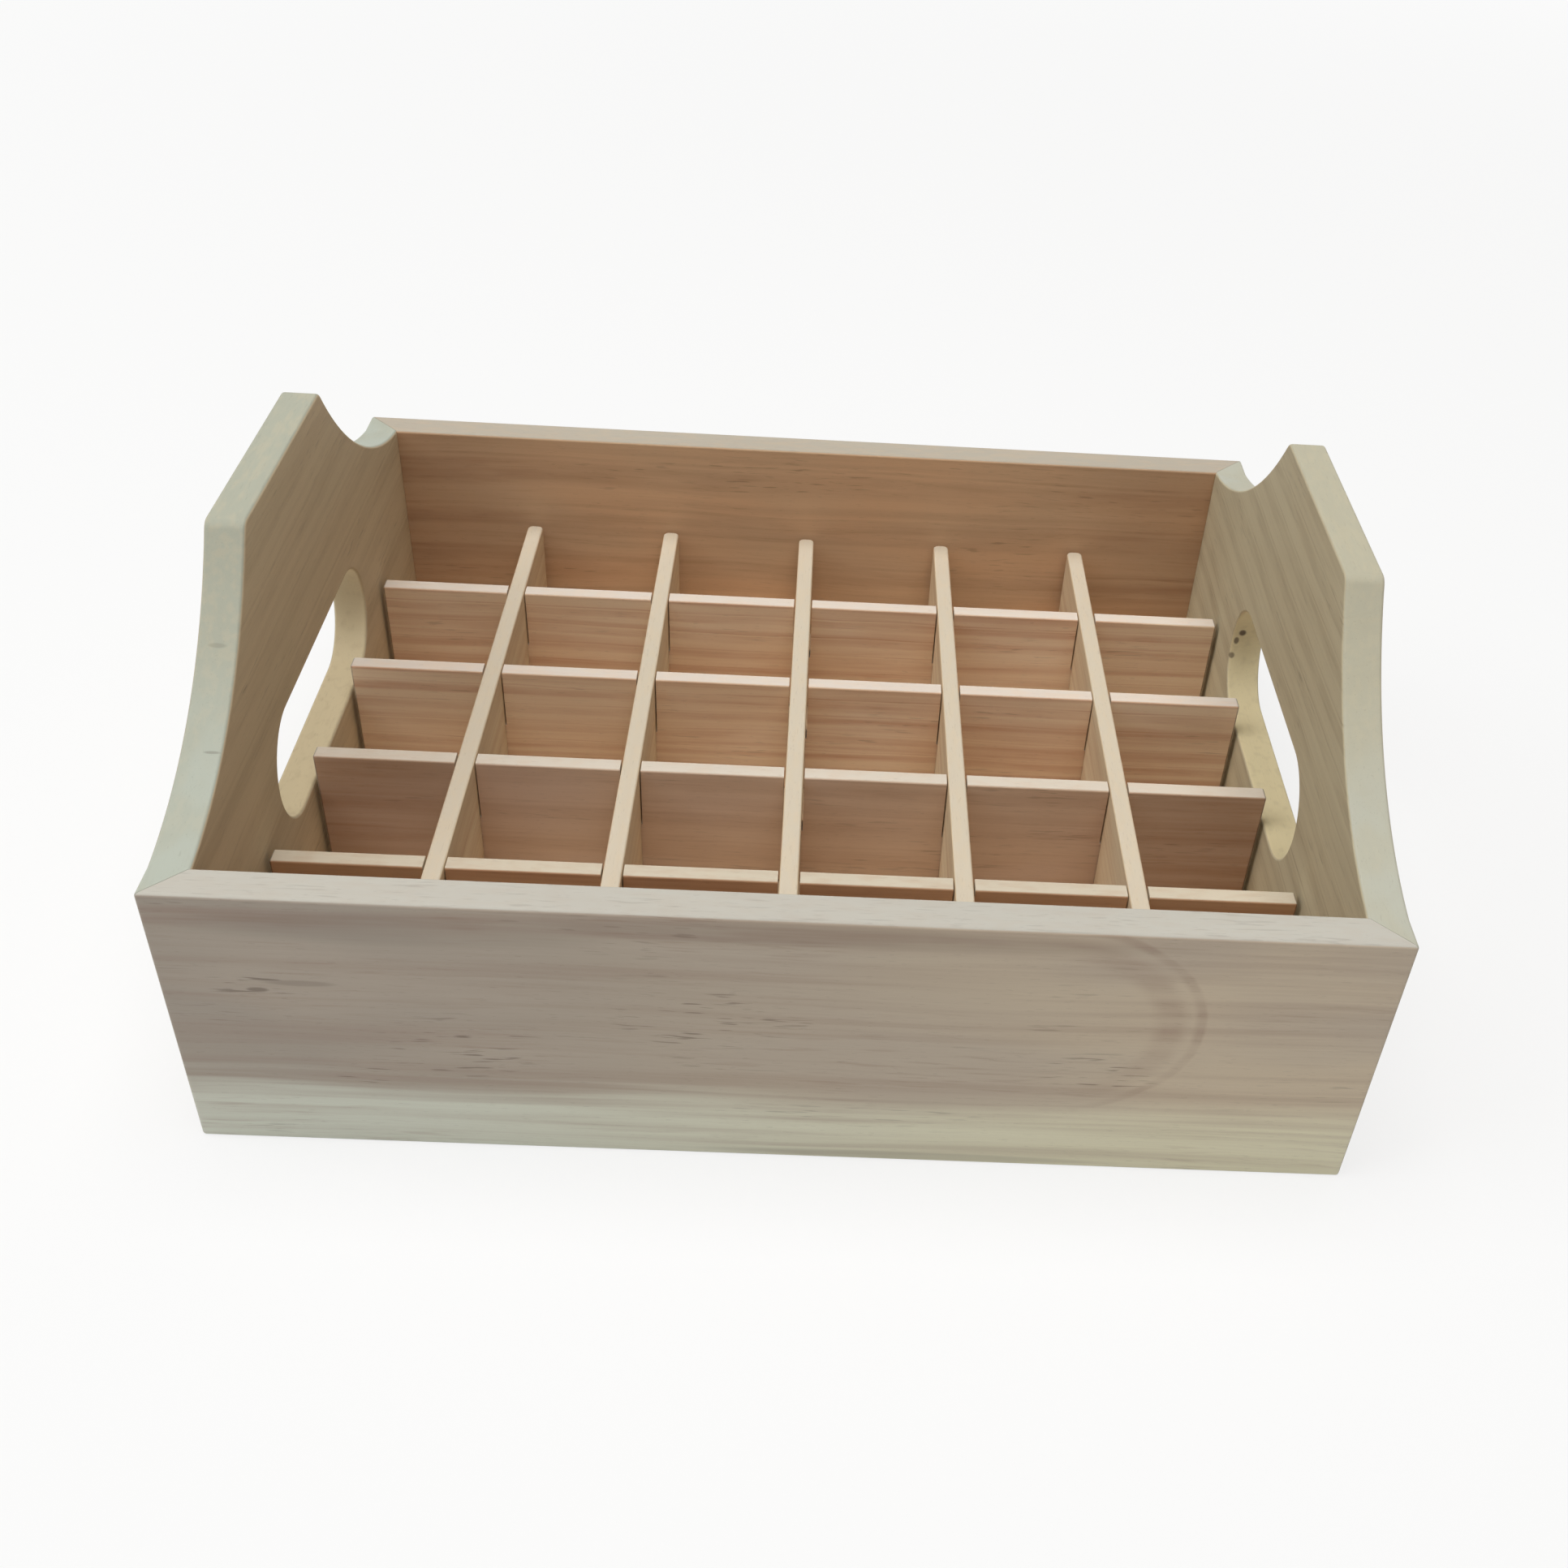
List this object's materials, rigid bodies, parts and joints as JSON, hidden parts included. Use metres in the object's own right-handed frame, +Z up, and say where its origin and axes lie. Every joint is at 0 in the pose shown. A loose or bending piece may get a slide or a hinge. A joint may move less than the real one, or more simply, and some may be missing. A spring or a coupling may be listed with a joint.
{
  "type": "essential oil case",
  "caption": "Open wooden bottle case with raised coved end panels, hand slots and a lift-out grid of half-lapped dividers that holds small bottles upright in square cells.",
  "frame": {"origin": "centre of the footprint, on the surface that the case stands on", "axes": "+X along the case's length towards the right end panel, +Y from the front panel to the back panel, +Z up"},
  "size_m": [0.23, 0.195, 0.1],
  "materials": {
    "board_wood": "bare sanded pale softwood, satin dry",
    "slat_wood": "bare sanded thin softwood, slightly pinker than the boards",
    "base_wood": "bare thin plywood",
    "brad_steel": "plain steel wire"
  },
  "bodies": {
    "case": {"front_panel": "board_wood", "back_panel": "board_wood", "left_end_panel": "board_wood", "right_end_panel": "board_wood", "base_panel": "base_wood", "front_left_brad_1": "brad_steel", "front_left_brad_2": "brad_steel", "back_left_brad_1": "brad_steel", "back_left_brad_2": "brad_steel", "front_right_brad_1": "brad_steel", "front_right_brad_2": "brad_steel", "back_right_brad_1": "brad_steel", "back_right_brad_2": "brad_steel"},
    "divider_grid": {"long_divider_1": "slat_wood", "long_divider_2": "slat_wood", "long_divider_3": "slat_wood", "long_divider_4": "slat_wood"},
    "loose_cross_divider_1": {"cross_divider_1": "slat_wood"},
    "loose_cross_divider_2": {"cross_divider_2": "slat_wood"},
    "loose_cross_divider_3": {"cross_divider_3": "slat_wood"},
    "loose_cross_divider_4": {"cross_divider_4": "slat_wood"},
    "loose_cross_divider_5": {"cross_divider_5": "slat_wood"}
  },
  "joints": [
    {"name": "grid_lift", "type": "slide", "parent": "case", "child": "divider_grid", "axis": [0, 0, 1], "range_m": [0, 0.105]},
    {"name": "cross_1_lift", "type": "slide", "parent": "divider_grid", "child": "loose_cross_divider_1", "axis": [0, 0, 1], "range_m": [0, 0.105]},
    {"name": "cross_2_lift", "type": "slide", "parent": "divider_grid", "child": "loose_cross_divider_2", "axis": [0, 0, 1], "range_m": [0, 0.105]},
    {"name": "cross_3_lift", "type": "slide", "parent": "divider_grid", "child": "loose_cross_divider_3", "axis": [0, 0, 1], "range_m": [0, 0.105]},
    {"name": "cross_4_lift", "type": "slide", "parent": "divider_grid", "child": "loose_cross_divider_4", "axis": [0, 0, 1], "range_m": [0, 0.105]},
    {"name": "cross_5_lift", "type": "slide", "parent": "divider_grid", "child": "loose_cross_divider_5", "axis": [0, 0, 1], "range_m": [0, 0.105]}
  ]
}
